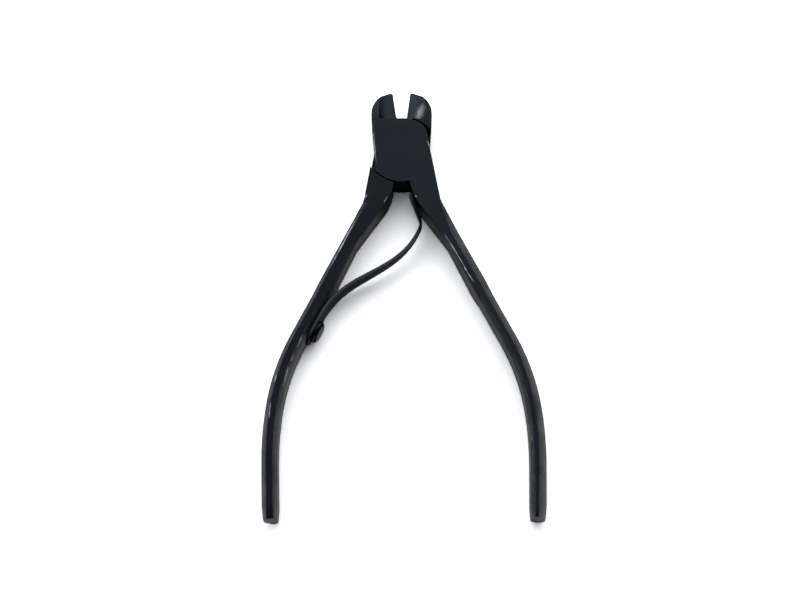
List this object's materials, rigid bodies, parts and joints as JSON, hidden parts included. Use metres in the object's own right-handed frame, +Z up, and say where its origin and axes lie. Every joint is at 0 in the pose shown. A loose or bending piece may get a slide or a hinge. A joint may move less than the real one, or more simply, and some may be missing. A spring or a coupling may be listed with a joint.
{
  "type": "side cutting nippers",
  "caption": "Small forged hand nippers with side-cutting jaws, a riveted lap joint and a leaf spring that opens the bowed handles.",
  "frame": {"origin": "point where the joint axis meets the underside of the tool as it lies flat", "axes": "+Y from the joint to the jaws, +Z up along the joint axis through the thickness, +X to the right seen from the front lever's side"},
  "size_m": [0.0742, 0.1228, 0.008],
  "materials": {
    "blackened_forging": "black oxide over ground forged steel, worn bright at the corners",
    "joint_rivet_steel": "black oxide, ground flush with the head",
    "spring_steel": "blackened spring strip with a dull sheen",
    "spring_rivet_steel": "blackened steel with a worn face"
  },
  "bodies": {
    "front": {"front_lever": "blackened_forging", "joint_rivet": "joint_rivet_steel"},
    "rear": {"rear_lever": "blackened_forging", "leaf_spring": "spring_steel", "spring_rivet": "spring_rivet_steel"}
  },
  "joints": [
    {"name": "lap_pivot", "type": "hinge", "parent": "front", "child": "rear", "pos_m": [0, 0, 0.004], "axis": [0, 0, 1], "range_deg": [-6, 14.5], "stiffness_Nm_per_rad": 1.2, "deforming": ["leaf_spring"]}
  ]
}
